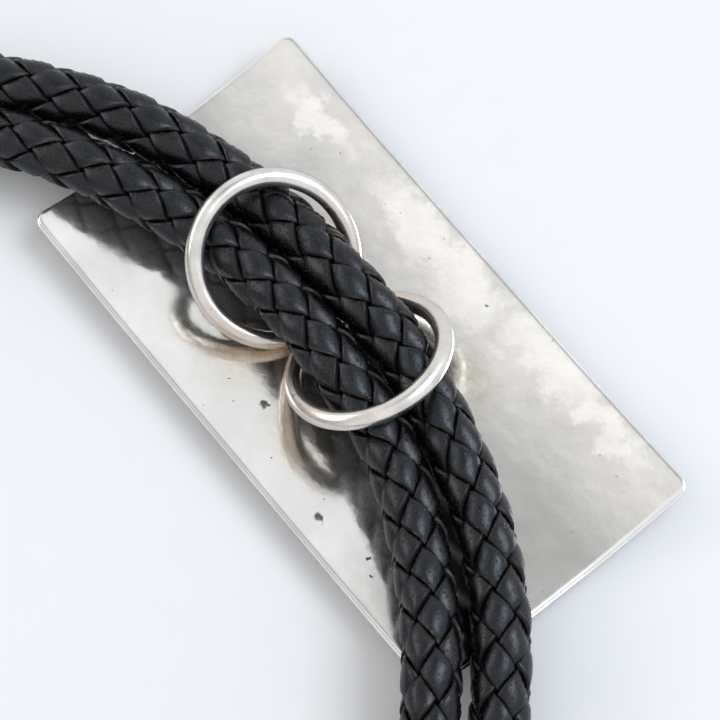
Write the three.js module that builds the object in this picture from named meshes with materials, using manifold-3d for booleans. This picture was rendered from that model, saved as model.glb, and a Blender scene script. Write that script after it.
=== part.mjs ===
// A bolo tie lying on its front: a curved silver slide plate, the two wire rings soldered
// to its back, and one braided leather cord that passes twice through the rings.
//
// Millimetres. X points to the picture's right, Y away from the viewer and Z up from the
// surface that the tie lies on. The origin is under the middle of the slide.
import * as THREE from "three";
import { mergeVertices } from "three/addons/utils/BufferGeometryUtils.js";
import Module from "manifold-3d";

const degrees = THREE.MathUtils.degToRad;

// The slide is built along its own length, Y, and then turned to where it lies.
const slideTurn = degrees(39);
const plate = {
  width: 31.4,
  length: 60,
  thickness: 1.3,
  riseAtSides: 2.0, // how far the long edges stand above the flat middle
  riseAtEnds: 0.9,
  cornerRadius: 1.3,
  columns: 18,
  rows: 28,
  flatColumns: 4, // the columns and rows of the flat middle that the plate rests on
  flatRows: 8,
};
const wire = { radius: 0.92, sunk: 0.05, sides: 10, steps: 44 };
const wireCentreAtPlate = plate.thickness + wire.radius - wire.sunk;
const rings = [
  { x: -0.83, y: 11.53, radius: 7.69, lean: degrees(28), turn: degrees(-4.3) },
  { x: -0.42, y: -2.12, radius: 7.52, lean: degrees(-32), turn: degrees(2.9) },
];
const solder = {
  x: -1.04,
  y: 4.5,
  halfWidth: 2.6,
  halfLength: 1.7,
  height: 1.5,
  sides: 16,
  rows: 10,
};

const cordRadius = 2.62;
const cordSides = 10;
const cordSteps = 39;
const gap = 0.3;
const lying = 2.7; // the height of the cord's centre line where the surface carries it

// Each half of the cord runs from its tip up through the rings and round to the far end of
// the neck loop, where the two halves meet.
const leftRoute = [
  [4.9, -49.7, 3.6],
  [5.3, -46.4, 3.8],
  [5.9, -42.6, 5.1],
  [6.5, -36.3, 7.0],
  [6.6, -29.5, 7.4],
  [6.0, -22.6, 6.6],
  [4.7, -15.9, 6.1],
  [2.5, -9.5, 5.75],
  [-1.3, -3.5, 6.2],
  [-5.2, 2.1, 6.3],
  [-9.7, 7.1, 5.7],
  [-14.9, 11.8, 5.0],
  [-20.9, 15.3, 5.9],
  [-27.0, 18.4, 6.0],
  [-33.5, 20.8, 5.6],
  [-41.0, 22.4, 4.6],
  [-48.6, 22.6, 3.7],
  [-62.7, 19.9, lying],
  [-75.1, 13.2, lying],
  [-84.7, 3.4, lying],
  [-90.7, -8.4, lying],
  [-93.0, -20.8, lying],
  [-91.8, -32.7, lying],
  [-87.6, -43.2, lying],
  [-81.3, -51.6, lying],
  [-73.6, -57.7, lying],
  [-65.2, -61.5, lying],
  [-56.8, -62.0, lying],
  [-48.6, -60.8, lying],
  [-40.6, -57.5, lying],
  [-33.0, -53.0, lying],
  [-21.6, -49.6, lying],
  [-12.9, -52.9, lying],
  [-11.0, -55.2, lying],
];
const rightRoute = [
  [13.1, -49.7, 3.6],
  [12.8, -46.2, 3.8],
  [12.6, -42.0, 4.7],
  [12.8, -35.2, 5.8],
  [13.0, -28.0, 6.1],
  [12.2, -20.9, 6.1],
  [10.4, -14.1, 6.0],
  [7.7, -7.6, 6.0],
  [4.4, -1.3, 6.1],
  [0.1, 4.2, 6.9],
  [-4.5, 9.7, 6.1],
  [-9.4, 14.7, 5.1],
  [-15.1, 18.9, 5.4],
  [-21.2, 22.4, 5.8],
  [-27.9, 25.0, 5.7],
  [-34.9, 26.9, 5.3],
  [-41.8, 28.4, 4.4],
  [-48.6, 28.8, 3.6],
  [-64.5, 26.2, lying],
  [-79.6, 18.7, lying],
  [-91.3, 7.6, lying],
  [-99.6, -6.4, lying],
  [-104.0, -22.2, lying],
  [-104.0, -38.8, lying],
  [-99.6, -54.6, lying],
  [-91.3, -68.6, lying],
  [-79.6, -79.7, lying],
  [-64.5, -87.2, lying],
  [-48.0, -89.8, lying],
  [-31.5, -87.2, lying],
  [-13.2, -77.2, lying],
  [-7.6, -66.6, lying],
  [-9.1, -57.5, lying],
  [-11.0, -55.2, lying],
];

// Each silver tip tapers from its mouth to a round end.
const tip = {
  length: 28,
  mouthRadius: 3.5,
  collarLength: 2.2,
  shoulderAt: 3.4,
  shoulderRadius: 3.2,
  neckRadius: 2.0,
  neckBeforeEnd: 2.2, // how far before the round end's centre the taper stops
  endRadius: 2.4,
  endTurns: [-40, -15, 15, 40, 65], // degrees from the widest place to points on the end
  sides: 16,
};
const tipDrop = 1.2; // how much lower the round end's centre lies than the mouth's

const silver = new THREE.MeshStandardMaterial({
  color: 0xe6e3df,
  roughness: 0.28,
  metalness: 1,
});
const leather = new THREE.MeshStandardMaterial({
  color: 0x1b1a1d,
  roughness: 0.45,
  metalness: 0,
});

const wasm = await Module();
wasm.setup();

function solidFrom(geometry) {
  const bare = geometry.clone();
  bare.deleteAttribute("normal");
  bare.deleteAttribute("uv");
  const merged = mergeVertices(bare, 1e-4);
  return new wasm.Manifold(
    new wasm.Mesh({
      numProp: 3,
      vertProperties: new Float32Array(merged.attributes.position.array),
      triVerts: new Uint32Array(merged.index.array),
    }),
  );
}

function geometryFrom(solid) {
  const mesh = solid.getMesh();
  const geometry = new THREE.BufferGeometry();
  geometry.setAttribute("position", new THREE.BufferAttribute(mesh.vertProperties, 3));
  geometry.setIndex(new THREE.BufferAttribute(mesh.triVerts, 1));
  geometry.computeVertexNormals();
  return geometry;
}

// How far along the curve from the flat middle (0) to the edge (1) a place lies.
function shareOfWay(place, flat, edge) {
  return Math.max(0, (Math.abs(place) - flat) / (edge - flat));
}

function riseAt(x, y) {
  const flatX = (plate.width * plate.flatColumns) / plate.columns / 2;
  const flatY = (plate.length * plate.flatRows) / plate.rows / 2;
  const across = shareOfWay(x, flatX, plate.width / 2);
  const along = shareOfWay(y, flatY, plate.length / 2);
  return plate.riseAtSides * across ** 2 + plate.riseAtEnds * along ** 2;
}

function plateGeometry() {
  const { width, length, thickness, columns, rows, cornerRadius } = plate;
  const geometry = new THREE.BoxGeometry(width, length, thickness, columns, rows, 1);
  geometry.translate(0, 0, thickness / 2);
  const place = geometry.attributes.position;
  const cut = cornerRadius * (1 - Math.SQRT1_2);
  for (let i = 0; i < place.count; i += 1) {
    const x = place.getX(i);
    const y = place.getY(i);
    const onCorner = Math.abs(x) > width / 2 - 0.01 && Math.abs(y) > length / 2 - 0.01;
    const pull = onCorner ? cut : 0;
    const newX = x - Math.sign(x) * pull;
    const newY = y - Math.sign(y) * pull;
    place.setXYZ(i, newX, newY, place.getZ(i) + riseAt(newX, newY));
  }
  return geometry;
}

function ringGeometry({ x, y, radius, lean, turn }) {
  const geometry = new THREE.TorusGeometry(radius, wire.radius, wire.sides, wire.steps);
  geometry.rotateX(lean);
  geometry.rotateZ(turn);
  const height = wireCentreAtPlate + radius * Math.abs(Math.sin(lean));
  geometry.translate(x, y, height);
  return geometry;
}

function solderGeometry() {
  const geometry = new THREE.SphereGeometry(1, solder.sides, solder.rows);
  geometry.scale(solder.halfWidth, solder.halfLength, solder.height);
  geometry.translate(solder.x, solder.y, plate.thickness);
  return geometry;
}

function makeSlide() {
  let joined = solidFrom(plateGeometry());
  for (const ring of rings) {
    joined = joined.add(solidFrom(ringGeometry(ring)));
  }
  const bead = solidFrom(solderGeometry()).trimByPlane([0, 0, 1], plate.thickness / 2);
  joined = joined.add(bead);
  const mesh = new THREE.Mesh(geometryFrom(joined), silver);
  mesh.name = "slide";
  mesh.rotation.z = slideTurn;
  return mesh;
}

function makeCord(name, route) {
  const points = route.map(([x, y, z]) => new THREE.Vector3(x, y, z));
  const path = new THREE.CatmullRomCurve3(points, false, "centripetal");
  const section = new THREE.Shape(
    Array.from({ length: cordSides }, (_, side) => {
      const angle = (2 * Math.PI * side) / cordSides;
      return new THREE.Vector2(cordRadius * Math.cos(angle), cordRadius * Math.sin(angle));
    }),
  );
  const geometry = new THREE.ExtrudeGeometry(section, {
    steps: cordSteps,
    extrudePath: path,
    bevelEnabled: false,
  });
  const mesh = new THREE.Mesh(geometry, leather);
  mesh.name = name;
  return mesh;
}

// The halves of the cord stop half a gap short of the loop's far end.
function shortened(route) {
  const points = route.map((point) => [...point]);
  const last = points[points.length - 1];
  const before = points[points.length - 2];
  const way = Math.hypot(last[0] - before[0], last[1] - before[1]);
  last[0] -= ((last[0] - before[0]) / way) * (gap / 2);
  last[1] -= ((last[1] - before[1]) / way) * (gap / 2);
  return points;
}

function makeTip(name, route) {
  const { length, mouthRadius, endRadius, sides } = tip;
  const shaft = length - endRadius;
  const outline = [
    new THREE.Vector2(0, 0),
    new THREE.Vector2(mouthRadius, 0),
    new THREE.Vector2(mouthRadius, tip.collarLength),
    new THREE.Vector2(tip.shoulderRadius, tip.shoulderAt),
    new THREE.Vector2(tip.neckRadius, shaft - tip.neckBeforeEnd),
  ];
  for (const turn of tip.endTurns) {
    const angle = degrees(turn);
    outline.push(
      new THREE.Vector2(endRadius * Math.cos(angle), shaft + endRadius * Math.sin(angle)),
    );
  }
  outline.push(new THREE.Vector2(0, length));
  const mesh = new THREE.Mesh(new THREE.LatheGeometry(outline, sides), silver);
  mesh.name = name;

  const mouth = new THREE.Vector3(...route[0]);
  const inside = new THREE.Vector3(...route[1]);
  const away = mouth.clone().sub(inside).setZ(0).normalize();
  away.z = -tipDrop / length;
  away.normalize();
  mesh.quaternion.setFromUnitVectors(new THREE.Vector3(0, 1, 0), away);
  mesh.position.copy(mouth).addScaledVector(away, gap);
  return mesh;
}

const boloTie = new THREE.Group();
boloTie.add(
  makeSlide(),
  makeCord("cord_left", shortened(leftRoute)),
  makeCord("cord_right", shortened(rightRoute)),
  makeTip("tip_left", leftRoute),
  makeTip("tip_right", rightRoute),
);

export default boloTie;
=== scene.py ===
"""The looks of a bolo tie that lies on its front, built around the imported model.

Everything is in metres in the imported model's own frame: X to the picture's right, Y away
from the viewer, Z up from the surface that the tie lies on.
"""

import math

import bpy
import numpy as np
from mathutils import Matrix, Vector


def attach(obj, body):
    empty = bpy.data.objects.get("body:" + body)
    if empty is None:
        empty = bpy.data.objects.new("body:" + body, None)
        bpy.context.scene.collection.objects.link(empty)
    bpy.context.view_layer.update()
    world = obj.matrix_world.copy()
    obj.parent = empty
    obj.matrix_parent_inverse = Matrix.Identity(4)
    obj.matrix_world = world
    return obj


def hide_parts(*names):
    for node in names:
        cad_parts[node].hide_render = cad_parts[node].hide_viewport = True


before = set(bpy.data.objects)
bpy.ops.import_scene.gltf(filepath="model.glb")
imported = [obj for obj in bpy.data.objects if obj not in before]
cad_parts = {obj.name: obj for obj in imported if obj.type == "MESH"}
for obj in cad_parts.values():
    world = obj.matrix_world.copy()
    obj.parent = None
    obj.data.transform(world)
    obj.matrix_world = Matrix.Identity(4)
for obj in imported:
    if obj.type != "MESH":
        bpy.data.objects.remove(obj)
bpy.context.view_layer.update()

# The camera stands above the near side of the tie, as the photograph's did.
camera_place = Vector((-0.00258, -0.11663, 0.31149))
camera_aim = Vector((0.00028, 0.00040, 0.0))
camera_roll = math.radians(1.49)
camera_lens = 175.0
sensor_width = 36.0

# The cord's route is the one that its plain tubes follow.
lying = 0.0027  # the height of its middle where the surface carries it
spline_samples = 4000
path_step = 0.0002
split_gap = 0.00015  # half of the gap between the cord's two halves
left_route = [
    (0.0049, -0.0497, 0.0036),
    (0.0053, -0.0464, 0.0038),
    (0.0059, -0.0426, 0.0051),
    (0.0065, -0.0363, 0.0070),
    (0.0066, -0.0295, 0.0074),
    (0.0060, -0.0226, 0.0066),
    (0.0047, -0.0159, 0.0061),
    (0.0025, -0.0095, 0.00575),
    (-0.0013, -0.0035, 0.0062),
    (-0.0052, 0.0021, 0.0063),
    (-0.0097, 0.0071, 0.0057),
    (-0.0149, 0.0118, 0.0050),
    (-0.0209, 0.0153, 0.0059),
    (-0.0270, 0.0184, 0.0060),
    (-0.0335, 0.0208, 0.0056),
    (-0.0410, 0.0224, 0.0046),
    (-0.0486, 0.0226, 0.0037),
    (-0.0627, 0.0199, lying),
    (-0.0751, 0.0132, lying),
    (-0.0847, 0.0034, lying),
    (-0.0907, -0.0084, lying),
    (-0.0930, -0.0208, lying),
    (-0.0918, -0.0327, lying),
    (-0.0876, -0.0432, lying),
    (-0.0813, -0.0516, lying),
    (-0.0736, -0.0577, lying),
    (-0.0652, -0.0615, lying),
    (-0.0568, -0.0620, lying),
    (-0.0486, -0.0608, lying),
    (-0.0406, -0.0575, lying),
    (-0.0330, -0.0530, lying),
    (-0.0216, -0.0496, lying),
    (-0.0129, -0.0529, lying),
    (-0.0110, -0.0552, lying),
]
right_route = [
    (0.0131, -0.0497, 0.0036),
    (0.0128, -0.0462, 0.0038),
    (0.0126, -0.0420, 0.0047),
    (0.0128, -0.0352, 0.0058),
    (0.0130, -0.0280, 0.0061),
    (0.0122, -0.0209, 0.0061),
    (0.0104, -0.0141, 0.0060),
    (0.0077, -0.0076, 0.0060),
    (0.0044, -0.0013, 0.0061),
    (0.0001, 0.0042, 0.0069),
    (-0.0045, 0.0097, 0.0061),
    (-0.0094, 0.0147, 0.0051),
    (-0.0151, 0.0189, 0.0054),
    (-0.0212, 0.0224, 0.0058),
    (-0.0279, 0.0250, 0.0057),
    (-0.0349, 0.0269, 0.0053),
    (-0.0418, 0.0284, 0.0044),
    (-0.0486, 0.0288, 0.0036),
    (-0.0645, 0.0262, lying),
    (-0.0796, 0.0187, lying),
    (-0.0913, 0.0076, lying),
    (-0.0996, -0.0064, lying),
    (-0.1040, -0.0222, lying),
    (-0.1040, -0.0388, lying),
    (-0.0996, -0.0546, lying),
    (-0.0913, -0.0686, lying),
    (-0.0796, -0.0797, lying),
    (-0.0645, -0.0872, lying),
    (-0.0480, -0.0898, lying),
    (-0.0315, -0.0872, lying),
    (-0.0132, -0.0772, lying),
    (-0.0076, -0.0666, lying),
    (-0.0091, -0.0575, lying),
    (-0.0110, -0.0552, lying),
]

# The braid: eight flat strands, four each way, over one and under one.
braid_outer = 0.00282
braid_cell = 0.00242  # half of the braid's pitch along the cord
# Where the braid's cells lie: metres from the left tip, cells counted, twist in degrees.
braid_marks = [
    (0.0000, 0.75, -10),
    (0.0175, 8, -14),
    (0.0270, 12, -8),
    (0.0370, 16, -4),
    (0.0470, 20, -3),
    (0.0570, 24, 2),
    (0.0615, 26, 2),
    (0.0720, 30, -5),
    (0.0815, 34, -10),
    (0.0870, 36, -11),
    (0.1300, 54, 0),
    (0.5060, 210, 0),
    (0.5445, 226, 10),
    (0.5545, 230, 8),
    (0.5650, 234, 12),
    (0.5750, 238, 1),
    (0.5855, 242, -8),
    (0.5950, 246, -7),
    (0.6060, 250, -5),
    (0.6160, 254, -12),
    (0.6255, 258, -12),
    (0.6440, 266, -10),
]
strands_each_way = 4
strand_thickness = 0.0008
strand_dive = 0.00095
dive_power = 2.4  # how long a strand stays on top before it dives
strand_fill = 0.975  # how much of a cell a strand fills
edge_starts = 0.80  # where the sliced edge starts, as a share of half the strand's width; on one side its colour is painted light
core_radius = 0.0015
core_sides = 8
core_step = 0.002
fine_rows_per_cell = 12
coarse_rows_per_cell = 4
seen_reach = 0.052  # how far from the slide's middle the camera sees the cord
strip_apart = 200  # how far apart the strands' UVs lie, so that no two look alike

# The slide is built along its own length and then turned to where it lies.
slide_turn = math.radians(39)
plate_width = 0.0314
plate_length = 0.060
plate_thickness = 0.0013
plate_loops = 18  # loops of points on each face, from the rim in to the middle
rise_at_sides = 0.0020
rise_at_ends = 0.0009
side_bend = 1.4  # how suddenly the sides curve up
flat_width = plate_width * 4 / 18
flat_length = plate_length * 8 / 28
corner_radius = 0.0013
# The rim's profile, from the back to the front: how far in from the outline and how high.
plate_rim = [
    (0.00060, 0.00130),
    (0.00032, 0.00129),
    (0.00022, 0.00124),
    (0.00017, 0.00114),
    (0.00016, 0.00086),
    (0.00020, 0.00082),
    (0.00034, 0.00079),
    (0.00020, 0.00076),
    (0.00008, 0.00073),
    (0.00001, 0.00064),
    (0.00000, 0.00050),
    (0.00000, 0.00032),
    (0.00010, 0.00014),
    (0.00030, 0.00003),
    (0.00060, 0.00000),
]
wire_radius = 0.00092
wire_sunk = 0.00005
rings = [
    {"x": -0.00083, "y": 0.01153, "radius": 0.00769, "lean": 28, "turn": -4.3},
    {"x": -0.00042, "y": -0.00212, "radius": 0.00752, "lean": -32, "turn": 2.9},
]

# The colours of the worn leather, of the silver and of the floor, painted shade and painted
# reflection among them.
leather_worn = (0.022, 0.022, 0.026, 1.0)
leather_scuffed = (0.09, 0.09, 0.09, 1.0)
leather_pore = (0.001, 0.001, 0.001, 1.0)
leather_shadow = (0.0015, 0.0015, 0.0015, 1.0)
plate_grey = (0.73, 0.725, 0.715, 1.0)
plate_pale = (0.84, 0.83, 0.81, 1.0)
plate_painted_reflection = (0.99, 0.98, 0.96, 1.0)
plate_tan = (0.62, 0.53, 0.37, 1.0)
plate_painted_shade = (0.05, 0.05, 0.055, 1.0)
plate_pit = (0.10, 0.10, 0.10, 1.0)
wire_grey = (0.60, 0.575, 0.55, 1.0)
wire_pale = (0.76, 0.745, 0.73, 1.0)
wire_tan = (0.52, 0.42, 0.36, 1.0)
wire_pit = (0.12, 0.10, 0.09, 1.0)
tip_grey = (0.80, 0.785, 0.765, 1.0)
tip_pale = (0.92, 0.91, 0.895, 1.0)
floor_grey = (0.645, 0.655, 0.673, 1.0)
floor_pale = (0.659, 0.669, 0.687, 1.0)

# The solder bead between the rings, by its place across and along the slide.
solder_place = (-0.00104, 0.0045)
solder_half_width = 0.0026
solder_half_length = 0.0017
solder_height = 0.0015
solder_stain_reach = (0.0055, 0.0045)
wire_stain_reach = (0.0110, 0.0095)

# The marks on the plate, some of wear and some painted reflection and shade: each has a
# middle and a reach, across and along the slide.
painted_bright_reflections = [
    ((0.0124, 0.0215), (0.0014, 0.0042)),
    ((0.0130, 0.0055), (0.0021, 0.0075)),
    ((0.0118, -0.0010), (0.0028, 0.0035)),
    ((0.0136, -0.0120), (0.0022, 0.0050)),
    ((0.0138, -0.0200), (0.0014, 0.0055)),
]
faint_stain = 0.55  # how strong the stain marks are beside the stain at the solder
stain_marks = [
    ((-0.0085, 0.0070), (0.0030, 0.0028)),
    ((-0.0095, -0.0035), (0.0022, 0.0040)),
    ((0.0070, -0.0080), (0.0018, 0.0030)),
]
dull_patch = ((-0.0050, -0.0190), (0.0036, 0.0085))
flat_patch = ((-0.0125, -0.0230), (0.0035, 0.0075))
flat_share = 0.60  # how much of the plate's curve the flat patch loses
painted_cord_shade_marks = [
    ((-0.0040, -0.0175), (0.0012, 0.0050)),
    ((-0.0064, -0.0223), (0.0013, 0.0040)),
    ((-0.0089, -0.0262), (0.0014, 0.0038)),
    ((-0.0108, -0.0290), (0.0013, 0.0030)),
]
# Each pit's place across and along the slide and its radius.
plate_pits = [
    (-0.00987, 0.00189, 0.00040),
    (-0.00960, 0.00150, 0.00025),
    (-0.01295, -0.01036, 0.00045),
    (-0.01265, -0.01050, 0.00025),
    (-0.01180, -0.01645, 0.00022),
    (-0.01270, -0.01769, 0.00018),
    (-0.01091, 0.00572, 0.00012),
    (-0.01275, -0.00295, 0.00012),
    (0.01260, -0.00380, 0.00015),
]

# The tent around the tie: where overhead it is dimmest, how far that reaches, its levels
# there and beyond, its tints from left to right, and how dim it is low on the left.
dim_place = (-0.08, 0.36)
dim_reach = (0.05, 0.42)
dim_levels = (0.50, 1.06)
warm_tent = (1.0, 0.985, 0.965, 1.0)
cool_tent = (0.95, 0.975, 1.0, 1.0)
tent_tint_reach = (-0.5, 0.6)
low_left_reach = (-0.95, -0.50)
low_left_level = 0.45

floor_half_width = 3.0
floor_drop = 0.00002  # keeps the floor clear of the faces that rest on it

# The tips: plain turned silver on the cord's two ends.
tip_length = 0.028
tip_drop = 0.0012  # how much lower the round end's centre lies than the mouth's
mouth_gap = 0.0003
tip_mouth = 0.0035
tip_shoulder = 0.0032
tip_neck = 0.0020
tip_end = 0.0024
tip_taper_starts = 0.0035
tip_sides = 48
# The collar's profile: how far inside the mouth's radius and how far from the mouth.
tip_collar = [
    (0.0006, 0.0004),
    (0.0004, 0.0001),
    (0.0002, 0.0000),
    (0.0000, 0.0002),
    (0.0000, 0.0020),
    (0.0001, 0.0022),
    (0.0003, 0.0024),
    (0.0003, 0.0026),
    (0.0001, 0.0028),
    (0.0001, 0.0032),
    (0.0003, 0.0035),
]


def vector_rows(rows):
    """The rows as an array of numbers."""
    return np.array(rows, dtype=float)


def unit(vectors):
    """The vectors, each made one long."""
    return vectors / np.linalg.norm(vectors, axis=-1, keepdims=True)


def smooth_line(points, step):
    """Points a step apart on the natural cubic spline through the given points."""
    points = vector_rows(points)
    chords = np.linalg.norm(np.diff(points, axis=0), axis=1)
    knots = np.concatenate([[0.0], np.cumsum(chords)])
    count = len(points)
    matrix = np.eye(count)
    right = np.zeros_like(points)
    for i in range(1, count - 1):
        before, after = chords[i - 1], chords[i]
        matrix[i, i - 1 : i + 2] = before, 2 * (before + after), after
        right[i] = 6 * (
            (points[i + 1] - points[i]) / after - (points[i] - points[i - 1]) / before
        )
    bend = np.linalg.solve(matrix, right)
    places = np.linspace(0.0, knots[-1], spline_samples)
    i = np.clip(np.searchsorted(knots, places, side="right") - 1, 0, count - 2)
    h = chords[i][:, None]
    a = (knots[i + 1] - places)[:, None] / h
    b = (places - knots[i])[:, None] / h
    line = a * points[i] + b * points[i + 1]
    line += ((a**3 - a) * bend[i] + (b**3 - b) * bend[i + 1]) * h * h / 6
    return evenly(line, step)


def evenly(line, step):
    """The same line with its points an even step apart."""
    way = np.concatenate([[0.0], np.cumsum(np.linalg.norm(np.diff(line, axis=0), axis=1))])
    count = max(2, int(round(way[-1] / step)) + 1)
    places = np.linspace(0.0, way[-1], count)
    return np.stack([np.interp(places, way, line[:, k]) for k in range(3)], axis=1)


def make_mesh(name, vertices, faces, materials, smooth=True, uvs=None, face_slots=None):
    """A new object, with UVs by vertex and a material slot by face where they are given."""
    mesh = bpy.data.meshes.new(name)
    mesh.from_pydata([tuple(v) for v in vertices], [], [tuple(f) for f in faces])
    if smooth:
        mesh.polygons.foreach_set("use_smooth", [True] * len(mesh.polygons))
    for material in materials:
        mesh.materials.append(material)
    if face_slots is not None:
        mesh.polygons.foreach_set("material_index", face_slots)
    if uvs is not None:
        layer = mesh.uv_layers.new(name="strip")
        loops = np.empty(len(mesh.loops), dtype=np.int32)
        mesh.loops.foreach_get("vertex_index", loops)
        layer.data.foreach_set("uv", np.asarray(uvs)[loops].astype(np.float32).ravel())
    mesh.update()
    piece = bpy.data.objects.new(name, mesh)
    bpy.context.collection.objects.link(piece)
    return piece


def tube_faces(rows, columns, start=0, closed_ends=True):
    """Quads between the rows of a tube whose every row has the same number of points."""
    row = np.arange(rows - 1)[:, None] * columns
    here = np.arange(columns)[None, :]
    there = (here + 1) % columns
    quads = np.stack(
        [row + here, row + there, row + columns + there, row + columns + here], axis=-1
    ).reshape(-1, 4)
    faces = (quads + start).tolist()
    if closed_ends:
        faces.append([start + k for k in range(columns)][::-1])
        faces.append([start + (rows - 1) * columns + k for k in range(columns)])
    return faces


# Materials


class Nodes:
    """A node tree with short calls to add and join nodes."""

    def __init__(self, tree):
        self.tree = tree

    def node(self, kind, inputs=None, **settings):
        made = self.tree.nodes.new(kind)
        for key, value in settings.items():
            setattr(made, key, value)
        for key, value in (inputs or {}).items():
            self.put(made.inputs[key], value)
        return made

    def put(self, socket, value):
        if isinstance(value, bpy.types.NodeSocket):
            self.tree.links.new(value, socket)
        else:
            socket.default_value = value

    def math(self, operation, *values, clamp=False):
        made = self.node("ShaderNodeMath", operation=operation, use_clamp=clamp)
        for socket, value in zip(made.inputs, values):
            self.put(socket, value)
        return made.outputs[0]

    def between(self, value, low, high, to_low=0.0, to_high=1.0, smooth=False):
        made = self.node("ShaderNodeMapRange")
        if smooth:
            made.interpolation_type = "SMOOTHSTEP"
        for socket, given in zip(made.inputs, (value, low, high, to_low, to_high)):
            self.put(socket, given)
        return made.outputs[0]

    def mix(self, share, first, second):
        made = self.node("ShaderNodeMix", data_type="RGBA")
        self.put(made.inputs["Factor"], share)
        self.put(made.inputs["A"], first)
        self.put(made.inputs["B"], second)
        return made.outputs["Result"]

    def place(self, scale=(1.0, 1.0, 1.0), turn=0.0, offset=(0.0, 0.0, 0.0)):
        source = self.node("ShaderNodeTexCoord").outputs["Object"]
        turned = self.node(
            "ShaderNodeMapping",
            {"Vector": source, "Rotation": (0.0, 0.0, turn)},
        )
        return self.node(
            "ShaderNodeMapping",
            {"Vector": turned.outputs[0], "Scale": scale, "Location": offset},
        ).outputs[0]

    def noise(self, where, scale, detail=3.0, roughness=0.55, distortion=0.0):
        return self.node(
            "ShaderNodeTexNoise",
            {
                "Vector": where,
                "Scale": scale,
                "Detail": detail,
                "Roughness": roughness,
                "Distortion": distortion,
            },
        ).outputs["Fac"]

    def split(self, where):
        return self.node("ShaderNodeSeparateXYZ", {"Vector": where}).outputs

    def bump(self, height, strength, distance, normal=None):
        inputs = {"Strength": strength, "Distance": distance, "Height": height}
        if normal is not None:
            inputs["Normal"] = normal
        return self.node("ShaderNodeBump", inputs).outputs[0]


class Shader(Nodes):
    """A material with one Principled surface."""

    def __init__(self, name):
        self.material = bpy.data.materials.new(name)
        self.material.use_nodes = True
        super().__init__(self.material.node_tree)
        self.surface = self.tree.nodes["Principled BSDF"]

    def set(self, **values):
        for key, value in values.items():
            self.put(self.surface.inputs[key.replace("_", " ").title()], value)


def strand_masks(shader, strip, grain):
    """How far a strand is off its top, its sliced edge with painted light, and its painted shade.
    """
    along, across, _ = shader.split(strip)
    phase = shader.math("FLOORED_MODULO", shader.math("ADD", along, 1.0), 2.0)
    off_top = shader.math("ABSOLUTE", shader.math("SUBTRACT", phase, 1.0))
    off_middle = shader.math("MULTIPLY", shader.math("ABSOLUTE", across), 2.0 / strand_fill)
    lit_side = shader.math("LESS_THAN", across, 0.0)
    ragged = shader.math("ADD", off_top, shader.between(grain, 0.2, 0.8, -0.03, 0.03))
    # Painted shade: dark where a strand dives under its neighbour and at its foot by the groove.
    under = shader.between(ragged, 0.45, 0.56, smooth=True)
    # Painted light: the sliced edge shows its pale colour on one side of each strand only, the
    # side the light falls on.
    lit_cut_edge = shader.math(
        "MULTIPLY",
        shader.between(off_middle, edge_starts, edge_starts + 0.03, smooth=True),
        lit_side,
    )
    foot = shader.between(off_middle, 0.90, 0.95, smooth=True)
    return off_top, lit_cut_edge, shader.math("MAXIMUM", under, foot)


def leather_pores(shader, where):
    """Small round pores, in about half of the cells."""
    pores = shader.node("ShaderNodeTexVoronoi", {"Vector": where, "Scale": 2600.0})
    chosen, _, _ = shader.split(pores.outputs["Color"])
    return shader.math(
        "MULTIPLY",
        shader.between(pores.outputs["Distance"], 0.34, 0.16),
        shader.between(chosen, 0.45, 0.50),
    )


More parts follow.
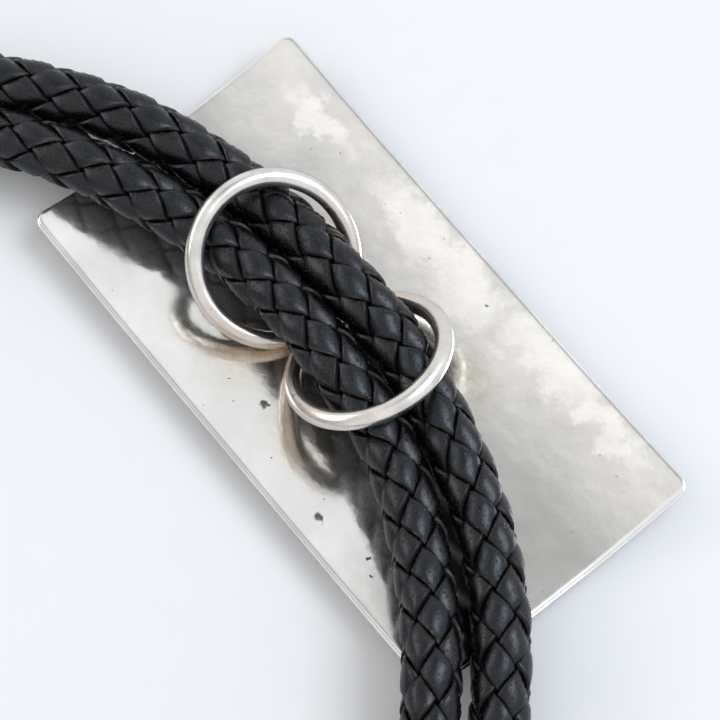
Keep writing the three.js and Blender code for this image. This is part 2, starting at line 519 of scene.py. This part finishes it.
def leather_material(name, tint, sheen_tint, raw_edge_and_light, pore_depth):
    """Black leather on flat strands whose UVs run along (0 on top) and across (0 mid)."""
    shader = Shader(name)
    where = shader.place()
    strip = shader.node("ShaderNodeTexCoord").outputs["UV"]
    grain = shader.noise(where, 2100.0, detail=4.0)
    off_top, lit_cut_edge, painted_groove_shade = strand_masks(shader, strip, grain)
    pore = leather_pores(shader, where)
    stretch = shader.node(
        "ShaderNodeMapping",
        {"Vector": strip, "Rotation": (0.0, 0.0, math.radians(38)), "Scale": (34.0, 5.0, 1.0)},
    ).outputs[0]
    creases = shader.noise(stretch, 1.0, detail=3.0, roughness=0.7, distortion=0.5)
    patches = shader.noise(where, 330.0, detail=3.0)
    flecks = shader.noise(where, 3400.0, detail=2.0)

    face = shader.mix(
        shader.between(patches, 0.35, 0.65),
        (*(0.5 * c for c in tint), 1.0),
        (*tint, 1.0),
    )
    worn = shader.between(creases, 0.56, 0.70, 0.0, 0.4)
    face = shader.mix(worn, face, leather_worn)
    scuffed = shader.mix(shader.between(flecks, 0.70, 0.78), face, leather_scuffed)
    pitted = shader.math("MULTIPLY", pore, pore_depth)
    scuffed = shader.mix(pitted, scuffed, leather_pore)
    patchy = shader.between(patches, 0.40, 0.60)
    # Partly real, partly painted light: the brown of the sliced edge, patchy, on the lit side
    # only.
    lit_raw_edge = shader.mix(
        shader.math("MULTIPLY", shader.between(grain, 0.35, 0.65), patchy),
        (*(0.15 * c for c in raw_edge_and_light), 1.0),
        (*raw_edge_and_light, 1.0),
    )
    color = shader.mix(lit_cut_edge, scuffed, lit_raw_edge)
    # Painted shade: near black where a strand dives under and in the grooves between strands.
    color = shader.mix(painted_groove_shade, color, leather_shadow)
    dome = shader.math("SUBTRACT", 1.0, shader.math("MULTIPLY", off_top, off_top))
    normal = shader.bump(dome, 1.0, 0.00006)
    normal = shader.bump(creases, 0.80, 0.00003, normal)
    normal = shader.bump(shader.math("SUBTRACT", 1.0, pore), pore_depth, 0.00006, normal)
    normal = shader.bump(patches, 0.25, 0.00012, normal)
    normal = shader.bump(grain, 0.15, 0.00003, normal)
    rough = shader.between(grain, 0.3, 0.7, 0.18, 0.33)
    rough = shader.math("ADD", rough, shader.math("MULTIPLY", lit_cut_edge, 0.25))
    shader.set(base_color=color, roughness=rough, normal=normal)
    shader.surface.inputs["Specular Tint"].default_value = (*sheen_tint, 1.0)
    # Less shine in the painted shade and on the sliced edge.
    dulled = shader.math("MAXIMUM", painted_groove_shade, shader.math("MULTIPLY", lit_cut_edge, 0.7))
    shine = shader.between(dulled, 0.0, 1.0, 0.42, 0.02)
    shader.put(shader.surface.inputs["Specular IOR Level"], shine)
    return shader.material


def slide_coordinates(shader):
    """The place on the slide, across and along it, in metres."""
    across, along, _ = shader.split(shader.place(turn=-slide_turn))
    return across, along


def spot(shader, across, along, middle, reach, soft):
    """A round or oval spot: 1 inside it and 0 outside, with a soft border."""
    sides = []
    for value, centre, radius in zip((across, along), middle, reach):
        share = shader.math("DIVIDE", shader.math("SUBTRACT", value, centre), radius)
        sides.append(shader.math("MULTIPLY", share, share))
    distance = shader.math("SQRT", shader.math("ADD", *sides))
    return shader.between(distance, 1.0 + soft, 1.0 - soft, smooth=True)


def spots(shader, across, along, marks, soft):
    """The spots of several marks as one mask, as strong as the strongest of them."""
    masks = [spot(shader, across, along, middle, reach, soft) for middle, reach in marks]
    total = masks[0]
    for mask in masks[1:]:
        total = shader.math("MAXIMUM", total, mask)
    return total


def warped(shader, value, noise, amount):
    """The value pushed to and fro by a noise, so that a spot's border is ragged."""
    return shader.math("ADD", value, shader.between(noise, 0.25, 0.75, -amount, amount))


def solder_stain(shader, across, along, grain):
    """Where the heat of the soldering has left the silver tan."""
    near = spot(shader, across, along, solder_place, solder_stain_reach, 0.45)
    faint = spots(shader, across, along, stain_marks, 0.95)
    heat = shader.math("MAXIMUM", near, shader.math("MULTIPLY", faint, faint_stain))
    return shader.math("MULTIPLY", heat, shader.between(grain, 0.20, 0.60))


def pits_and_specks(shader, where, across, along, grain):
    """The plate's ragged pits and, fainter, its scattered specks."""
    near_across = warped(shader, across, grain, 0.0004)
    near_along = warped(shader, along, shader.noise(where, 1300.0, detail=2.0), 0.0004)
    marks = [((x, y), (radius, radius)) for x, y, radius in plate_pits]
    pits = spots(shader, near_across, near_along, marks, 0.4)
    cells = shader.node("ShaderNodeTexVoronoi", {"Vector": where, "Scale": 700.0})
    chosen, _, _ = shader.split(cells.outputs["Color"])
    specks = shader.math(
        "MULTIPLY",
        shader.between(cells.outputs["Distance"], 0.12, 0.06),
        shader.between(chosen, 0.76, 0.78),
    )
    return shader.math("MAXIMUM", pits, shader.math("MULTIPLY", specks, 0.40))


def plate_relief(shader, where, across, along, dark):
    """The plate's normal: faint waves, dapple, fine lines and pits, flatter in one patch."""
    waves = shader.noise(where, 150.0, detail=2.0, roughness=0.4)
    dapple = shader.noise(where, 620.0, detail=3.0, roughness=0.55)
    lines = shader.noise(
        shader.place(scale=(2600.0, 60.0, 60.0), turn=-slide_turn), 1.0, detail=2.0
    )
    flatter = shader.math("MULTIPLY", spot(shader, across, along, *flat_patch, 0.6), flat_share)
    curved = shader.node("ShaderNodeNewGeometry").outputs["Normal"]
    normal = shader.mix(flatter, curved, (0.0, 0.0, 1.0, 1.0))
    normal = shader.bump(waves, 0.10, 0.0012, normal)
    normal = shader.bump(dapple, 0.07, 0.00030, normal)
    normal = shader.bump(lines, 0.05, 0.00003, normal)
    return shader.bump(shader.math("SUBTRACT", 1.0, dark), 0.3, 0.00002, normal)


def plate_material():
    """Polished silver, mottled, pitted, tan at the solder, painted reflections, painted shade
    under the cords.
    """
    shader = Shader("plate_silver")
    where = shader.place()
    across, along = slide_coordinates(shader)
    blotches = shader.noise(where, 260.0, detail=5.0, roughness=0.65)
    other_blotches = shader.noise(shader.place(offset=(3.0, 1.0, 0.0)), 260.0, detail=5.0)
    clouds = shader.noise(where, 110.0, detail=4.0, roughness=0.6)
    grain = shader.noise(where, 900.0, detail=4.0, roughness=0.7)
    wavy_across = warped(shader, across, blotches, 0.0022)
    wavy_along = warped(shader, along, other_blotches, 0.0030)
    dark = pits_and_specks(shader, where, across, along, grain)

    # Painted reflection: brighter patches along one long side stand in for the bright tent
    # mirrored there.
    bright = spots(shader, wavy_across, wavy_along, painted_bright_reflections, 0.45)
    stain = solder_stain(shader, across, along, grain)
    # Painted shade and reflection of the cords: near black on the plate along the gap between
    # them.
    painted_cord_shade = spots(shader, across, along, painted_cord_shade_marks, 0.5)
    silver = shader.mix(shader.between(clouds, 0.35, 0.65), plate_grey, plate_pale)
    silver = shader.mix(bright, silver, plate_painted_reflection)
    silver = shader.mix(stain, silver, plate_tan)
    silver = shader.mix(painted_cord_shade, silver, plate_painted_shade)

    dull = spot(shader, wavy_across, wavy_along, *dull_patch, 0.5)
    rough = shader.between(blotches, 0.3, 0.7, 0.10, 0.19)
    rough = shader.math("ADD", rough, shader.math("MULTIPLY", dull, 0.20))
    shader.set(
        base_color=shader.mix(dark, silver, plate_pit),
        metallic=0.955,
        roughness=shader.math("ADD", rough, shader.math("MULTIPLY", dark, 0.3)),
        normal=plate_relief(shader, where, across, along, dark),
    )
    return shader.material


def wire_material():
    """The rings' silver, warmer and pitted near the solder."""
    shader = Shader("wire_silver")
    where = shader.place()
    across, along = slide_coordinates(shader)
    smudges = shader.noise(where, 420.0, detail=4.0, roughness=0.6)
    grain = shader.noise(where, 1500.0, detail=3.0)
    stain = spot(shader, across, along, solder_place, wire_stain_reach, 0.5)
    cells = shader.node("ShaderNodeTexVoronoi", {"Vector": where, "Scale": 1100.0})
    pits = shader.between(cells.outputs["Distance"], 0.15, 0.09)
    low_pits = shader.math("MULTIPLY", pits, shader.math("MULTIPLY", stain, 0.7))
    heat = shader.math("MULTIPLY", stain, shader.between(smudges, 0.30, 0.60))
    color = shader.mix(shader.between(smudges, 0.35, 0.65), wire_grey, wire_pale)
    color = shader.mix(heat, color, wire_tan)
    color = shader.mix(low_pits, color, wire_pit)
    normal = shader.bump(smudges, 0.06, 0.00030)
    normal = shader.bump(grain, 0.06, 0.00003, normal)
    shader.set(
        base_color=color,
        metallic=0.97,
        roughness=shader.between(smudges, 0.3, 0.7, 0.18, 0.30),
        normal=normal,
    )
    return shader.material


def tip_material():
    """The tips' silver, with fine lines round it."""
    shader = Shader("tip_silver")
    where = shader.place()
    smudges = shader.noise(where, 300.0, detail=4.0, roughness=0.6)
    lines = shader.noise(shader.place(scale=(2400.0, 90.0, 2400.0)), 1.0, detail=2.0)
    normal = shader.bump(smudges, 0.05, 0.00030)
    normal = shader.bump(lines, 0.05, 0.00003, normal)
    shader.set(
        base_color=shader.mix(shader.between(smudges, 0.35, 0.65), tip_grey, tip_pale),
        metallic=1.0,
        roughness=shader.between(smudges, 0.3, 0.7, 0.15, 0.26),
        normal=normal,
    )
    return shader.material


def floor_material():
    """A matt pale surface with the faintest mottle."""
    shader = Shader("pale_floor")
    mottle = shader.noise(shader.place(), 300.0, detail=2.0)
    shader.set(base_color=shader.mix(mottle, floor_grey, floor_pale), roughness=0.7)
    return shader.material


# The two strand families are one leather; their different tints are painted light: a bluish sheen
# tint on the family that catches the right softbox, and dark sliced edges, painted shade, on the
# other.
leather_over = leather_material(
    "leather_over",
    tint=(0.0012, 0.0015, 0.0024),
    sheen_tint=(0.84, 0.91, 1.0),
    raw_edge_and_light=(0.095, 0.080, 0.076),
    pore_depth=0.45,
)
leather_under = leather_material(
    "leather_under",
    tint=(0.0022, 0.0021, 0.0026),
    sheen_tint=(0.91, 0.92, 1.0),
    raw_edge_and_light=(0.014, 0.012, 0.012),
    pore_depth=0.85,
)
plate_silver = plate_material()
wire_silver = wire_material()
tip_silver = tip_material()


# Camera


def make_camera():
    """The photograph's view, with nothing out of focus."""
    data = bpy.data.cameras.new("camera")
    data.lens = camera_lens
    data.sensor_width = sensor_width
    data.clip_start = 0.01
    data.clip_end = 20.0
    camera = bpy.data.objects.new("camera", data)
    look = (camera_aim - camera_place).to_track_quat("-Z", "Y").to_matrix().to_4x4()
    camera.matrix_world = (
        Matrix.Translation(camera_place) @ look @ Matrix.Rotation(camera_roll, 4, "Z")
    )
    bpy.context.collection.objects.link(camera)
    bpy.context.scene.camera = camera


make_camera()


# Cord

whole_route = left_route + right_route[-2::-1]
whole_line = smooth_line(whole_route, path_step)
way_along = np.concatenate(
    [[0.0], np.cumsum(np.linalg.norm(np.diff(whole_line, axis=0), axis=1))]
)
apex = np.array(left_route[-1])
middle_way = way_along[np.argmin(np.linalg.norm(whole_line - apex, axis=1))]
ahead = unit(np.gradient(whole_line, axis=0))
up = np.array([0.0, 0.0, 1.0])
top_side = unit(up - (ahead @ up)[:, None] * ahead)
left_side = np.cross(top_side, ahead)


def at_way(ways, table):
    """The rows of a table along the cord, read at the given ways."""
    return np.stack([np.interp(ways, way_along, table[:, k]) for k in range(3)], axis=-1)


def braid_rows(start, end):
    """The rows' places along the cord: close together in the seen stretch, else apart."""
    ways = [start]
    while ways[-1] < end:
        place = at_way(np.array([ways[-1]]), whole_line)[0]
        seen = math.hypot(place[0], place[1]) < seen_reach
        rows = fine_rows_per_cell if seen else coarse_rows_per_cell
        ways.append(ways[-1] + braid_cell / rows)
    ways[-1] = end
    return np.array(ways)


def dive(place, over_at):
    """How far a strand's face lies under the braid's outside: 0 where it is on top."""
    off = np.abs((place - over_at + 1.0) % 2.0 - 1.0)
    return strand_dive * np.sin(0.5 * math.pi * off) ** dive_power


def strand_section():
    """A strand's section: its place across the cell and its depth, outside then inside."""
    half = 0.5 * strand_fill
    thick = strand_thickness
    bend = edge_starts
    return vector_rows(
        [
            (-half, 0.42 * thick),
            (-(bend + 0.02) * half, 0.03 * thick),
            (-(bend - 0.03) * half, -0.02 * thick),
            (-0.42 * half, -0.05 * thick),
            (0.0, -0.06 * thick),
            (0.42 * half, -0.05 * thick),
            ((bend - 0.03) * half, -0.02 * thick),
            ((bend + 0.02) * half, 0.03 * thick),
            (half, 0.42 * thick),
            (0.92 * half, 0.95 * thick),
            (-0.92 * half, 0.95 * thick),
        ]
    )


def core_data(start, end):
    """A plain core, so that no light passes through the braid, and its count of rows."""
    ways = np.linspace(start, end, max(2, int((end - start) / core_step)))
    turn = np.linspace(0, 2 * math.pi, core_sides + 1)[:-1][None, :, None]
    top = unit(at_way(ways, top_side))[:, None, :]
    side = unit(at_way(ways, left_side))[:, None, :]
    ring = np.cos(turn) * top + np.sin(turn) * side
    core = at_way(ways, whole_line)[:, None, :] + core_radius * ring
    return core.reshape(-1, 3), len(ways)


def braid(name, start, end, lit_side):
    """The braid between two places along the cord, as one mesh.

    Four strands go round one way and four the other. lit_side is 1 or -1: it says on which
    side the strands show their sliced edge, painted as lit, in this half.
    """
    ways = braid_rows(start, end)
    marks = vector_rows(braid_marks)
    cells = np.interp(ways, marks[:, 0], marks[:, 1])
    twist = np.radians(np.interp(ways, marks[:, 0], marks[:, 2]))[:, None]
    section = strand_section()
    across, depth = section[:, 0], section[:, 1]
    centre = at_way(ways, whole_line)[:, None, :]
    top = unit(at_way(ways, top_side))[:, None, :]
    side = unit(at_way(ways, left_side))[:, None, :]
    vertices, faces, uvs, slots = [], [], [], []
    for slot, direction, over_at in ((0, 1, 0.0), (1, -1, 1.0)):
        for strand in range(strands_each_way):
            place = cells[:, None] - across[None, :]
            turn = strand * 2 * math.pi / strands_each_way
            swing = direction * 0.25 * math.pi * (cells[:, None] - 2 * across[None, :])
            angle = turn + twist + swing
            radius = braid_outer - dive(place, over_at) - depth[None, :]
            ring = np.cos(angle)[..., None] * top + np.sin(angle)[..., None] * side
            points = centre + radius[..., None] * ring
            begin = sum(len(v) for v in vertices)
            columns = len(section)
            strand_faces = tube_faces(len(ways), columns, begin)
            if direction < 0:
                strand_faces = [face[::-1] for face in strand_faces]
            faces += strand_faces
            slots += [slot] * len(strand_faces)
            vertices.append(points.reshape(-1, 3))
            uv = np.stack(
                [
                    place - over_at + strip_apart * strand,
                    np.broadcast_to(-lit_side * across, place.shape),
                ],
                axis=-1,
            )
            uvs.append(uv.reshape(-1, 2))
    begin = sum(len(v) for v in vertices)
    core, core_rows = core_data(start, end)
    vertices.append(core)
    # These UVs put the core wholly in the painted shade, so it is near black.
    uvs.append(np.ones((len(core), 2)))
    core_faces = [face[::-1] for face in tube_faces(core_rows, core_sides, begin)]
    faces += core_faces
    slots += [0] * len(core_faces)
    return make_mesh(
        name,
        np.concatenate(vertices),
        faces,
        [leather_over, leather_under],
        uvs=np.concatenate(uvs),
        face_slots=slots,
    )


braid_left = braid("braid_left", 0.0, middle_way - split_gap, -1)
braid_right = braid("braid_right", middle_way + split_gap, way_along[-1], 1)


# Tips


def lathe(name, profile, sides, materials):
    """A turned piece along its own Z, from a profile of (radius, height) pairs."""
    angles = np.linspace(0, 2 * math.pi, sides + 1)[:-1]
    profile = vector_rows(profile)
    ring = np.stack([np.cos(angles), np.sin(angles)], axis=1)
    vertices = np.concatenate(
        [np.column_stack([radius * ring, np.full(sides, height)]) for radius, height in profile]
    )
    faces = tube_faces(len(profile), sides)
    return make_mesh(name, vertices, faces, materials)


def make_tip(name, route):
    """A tip on the route's first point, with a collar, a taper and a round end."""
    shaft = tip_length - tip_end
    taper = shaft - 0.9 * tip_end - tip_taper_starts
    profile = [(tip_mouth - inset, height) for inset, height in tip_collar]
    for share in np.linspace(0.08, 1.0, 12):
        radius = tip_shoulder + (tip_neck - tip_shoulder) * share
        profile.append((radius, tip_taper_starts + taper * share))
    for turn in np.linspace(-38, 88, 15):
        angle = math.radians(turn)
        profile.append((tip_end * math.cos(angle), shaft + tip_end * math.sin(angle)))
    tip = lathe(name, profile, tip_sides, [tip_silver])
    start, inside = Vector(route[0]), Vector(route[1])
    away = start - inside
    away.z = 0.0
    away.normalize()
    away.z = -tip_drop / tip_length
    away.normalize()
    turn = Vector((0.0, 0.0, 1.0)).rotation_difference(away).to_matrix().to_4x4()
    tip.data.transform(Matrix.Translation(start + away * mouth_gap) @ turn)
    return tip


tip_left_piece = make_tip("tip_left_piece", left_route)
tip_right_piece = make_tip("tip_right_piece", right_route)


# Slide


def rise_at(x, y):
    """How far the curve lifts the plate at a place across and along it."""
    across = np.maximum(0, (2 * np.abs(x) - flat_width) / (plate_width - flat_width))
    along = np.maximum(0, (2 * np.abs(y) - flat_length) / (plate_length - flat_length))
    return rise_at_sides * across**side_bend + rise_at_ends * along**2


def outline_loop(inset, spacing=0.0009, corner_points=6):
    """The plate's outline, drawn in by an inset, always with the same number of points."""
    half_w = plate_width / 2
    half_l = plate_length / 2
    radius = max(corner_radius - inset, 0.00002)
    along_w = int(round((plate_width - 2 * corner_radius) / spacing))
    along_l = int(round((plate_length - 2 * corner_radius) / spacing))
    reach_x = max(half_w - inset - radius, 0.0)
    reach_y = max(half_l - inset - radius, 0.0)
    points = []
    corners = [(1, 1, 0.0), (-1, 1, 90.0), (-1, -1, 180.0), (1, -1, 270.0)]
    for index, (sign_x, sign_y, first) in enumerate(corners):
        for k in range(corner_points + 1):
            angle = math.radians(first + 90.0 * k / corner_points)
            points.append(
                (
                    sign_x * reach_x + radius * math.cos(angle),
                    sign_y * reach_y + radius * math.sin(angle),
                )
            )
        next_x, next_y, next_first = corners[(index + 1) % 4]
        count = along_w if index % 2 == 0 else along_l
        last = points[-1]
        angle = math.radians(next_first)
        corner = (
            next_x * reach_x + radius * math.cos(angle),
            next_y * reach_y + radius * math.sin(angle),
        )
        for k in range(1, count):
            share = k / count
            points.append(
                (last[0] + (corner[0] - last[0]) * share, last[1] + (corner[1] - last[1]) * share)
            )
    return np.array(points)


def plate_mesh_data():
    """Loops from the middle of the back, out over the rim and in again to the middle."""
    inner = np.linspace(plate_width / 2 - 0.00005, 0.0010, plate_loops)
    back = [(inset, plate_thickness) for inset in inner]
    front = [(inset, 0.0) for inset in inner[::-1]]
    rows = back + plate_rim + front
    loops = []
    for inset, height in rows:
        loop = outline_loop(inset)
        z = height + rise_at(loop[:, 0], loop[:, 1])
        loops.append(np.column_stack([loop, z]))
    columns = len(loops[0])
    vertices = np.concatenate(loops)
    faces = tube_faces(len(loops), columns, closed_ends=False)
    return vertices, [face[::-1] for face in faces]


def torus_data(radius, thickness, around=112, across=22):
    """A ring of round wire that lies flat round the origin."""
    u = np.linspace(0, 2 * math.pi, around + 1)[:-1]
    v = np.linspace(0, 2 * math.pi, across + 1)[:-1]
    out = np.repeat(radius + thickness * np.cos(v)[None, :], around, axis=0)
    vertices = np.stack(
        [
            out * np.cos(u)[:, None],
            out * np.sin(u)[:, None],
            np.broadcast_to(thickness * np.sin(v)[None, :], out.shape),
        ],
        axis=-1,
    ).reshape(-1, 3)
    row = np.arange(around)[:, None] * across
    after = ((np.arange(around) + 1) % around)[:, None] * across
    here = np.arange(across)[None, :]
    there = (here + 1) % across
    faces = np.stack([row + here, after + here, after + there, row + there], axis=-1)
    return vertices, faces.reshape(-1, 4).tolist()


def bead_data(rows=10, columns=32):
    """The upper half of the solder bead: a low lumpy dome on the plate's back."""
    tilt = np.linspace(0.0, 0.47 * math.pi, rows)[:, None]
    turn = np.linspace(0, 2 * math.pi, columns + 1)[None, :-1]
    lumps = 1.0 + 0.06 * np.sin(3 * turn + 0.7) + 0.04 * np.sin(7 * turn)
    bead = np.stack(
        [
            solder_place[0] + solder_half_width * lumps * np.cos(tilt) * np.cos(turn),
            solder_place[1] + solder_half_length * lumps * np.cos(tilt) * np.sin(turn),
            plate_thickness + solder_height * np.sin(tilt) * np.ones_like(turn),
        ],
        axis=-1,
    ).reshape(-1, 3)
    return bead, tube_faces(rows, columns)


def turned(vertices, matrix):
    """The vertices moved by a four by four matrix."""
    grown = np.column_stack([vertices, np.ones(len(vertices))])
    return (grown @ np.array(matrix).T)[:, :3]


def make_slide():
    """The plate, its two rings and the solder bead between them, as one mesh."""
    vertices, faces = plate_mesh_data()
    slots = [0] * len(faces)
    wire_height = plate_thickness + wire_radius - wire_sunk
    for ring in rings:
        lean = math.radians(ring["lean"])
        height = wire_height + ring["radius"] * abs(math.sin(lean))
        place = (
            Matrix.Translation((ring["x"], ring["y"], height))
            @ Matrix.Rotation(math.radians(ring["turn"]), 4, "Z")
            @ Matrix.Rotation(lean, 4, "X")
        )
        wire, wire_faces = torus_data(ring["radius"], wire_radius)
        begin = len(vertices)
        vertices = np.concatenate([vertices, turned(wire, place)])
        faces += [[begin + k for k in face] for face in wire_faces]
        slots += [1] * len(wire_faces)
    bead, bead_faces = bead_data()
    begin = len(vertices)
    vertices = np.concatenate([vertices, bead])
    faces += [[begin + k for k in face] for face in bead_faces]
    slots += [1] * len(bead_faces)
    vertices = turned(vertices, Matrix.Rotation(slide_turn, 4, "Z"))
    return make_mesh("slide_piece", vertices, faces, [plate_silver, wire_silver], face_slots=slots)


slide_piece = make_slide()


# Riding: each piece rides on the root, and the plain parts that it stands for are hidden

for piece, nodes, slot in (
    (slide_piece, ["slide"], "silver"),
    (braid_left, ["cord_left"], "leather"),
    (braid_right, ["cord_right"], "leather"),
    (tip_left_piece, ["tip_left"], "tip_silver"),
    (tip_right_piece, ["tip_right"], "tip_silver"),
):
    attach(piece, "root")
    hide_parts(*nodes)


# Floor and light


def make_floor():
    """A plain pale floor, a hair under the surface that the tie lies on."""
    size = floor_half_width
    corners = [(-size, -size, 0), (size, -size, 0), (size, size, 0), (-size, size, 0)]
    floor = make_mesh("floor", corners, [(0, 1, 2, 3)], [floor_material()], smooth=False)
    floor.location.z = -floor_drop


def area_light(name, place, size, power, color):
    """A rectangular light that looks at the slide's middle."""
    data = bpy.data.lights.new(name, "AREA")
    data.shape = "RECTANGLE"
    data.size, data.size_y = size
    data.energy = power
    data.color = color
    light = bpy.data.objects.new(name, data)
    place = Vector(place)
    look = (-place).to_track_quat("-Z", "Y").to_matrix().to_4x4()
    light.matrix_world = Matrix.Translation(place) @ look
    bpy.context.collection.objects.link(light)


def make_world():
    """A bright tent, dim in one place overhead and low on the left, warm left, cool right."""
    world = bpy.data.worlds.new("studio")
    bpy.context.scene.world = world
    world.use_nodes = True
    nodes = Nodes(world.node_tree)
    direction = nodes.node("ShaderNodeTexCoord").outputs["Generated"]
    side, _, _ = nodes.split(direction)
    flat = nodes.node(
        "ShaderNodeVectorMath",
        {0: direction, 1: (1.0, 1.0, 0.0)},
        operation="MULTIPLY",
    ).outputs["Vector"]
    away = nodes.node(
        "ShaderNodeVectorMath",
        {0: flat, 1: (*dim_place, 0.0)},
        operation="DISTANCE",
    ).outputs["Value"]
    overhead = nodes.between(away, *dim_reach, *dim_levels, smooth=True)
    low_left = nodes.between(side, *low_left_reach, low_left_level, 1.0, smooth=True)
    tint = nodes.mix(nodes.between(side, *tent_tint_reach), warm_tent, cool_tent)
    background = nodes.tree.nodes["Background"]
    nodes.put(background.inputs["Color"], tint)
    nodes.put(background.inputs["Strength"], nodes.math("MULTIPLY", overhead, low_left))


make_floor()
make_world()
area_light(
    "right_softbox",
    place=(1.10, 0.24, 1.66),
    size=(1.0, 1.0),
    power=20.0,
    color=(0.84, 0.92, 1.0),
)
area_light(
    "left_strip",
    place=(-1.40, 0.45, 0.85),
    size=(1.4, 0.45),
    power=6.5,
    color=(1.0, 0.96, 0.93),
)
bpy.context.scene.view_settings.view_transform = "Standard"
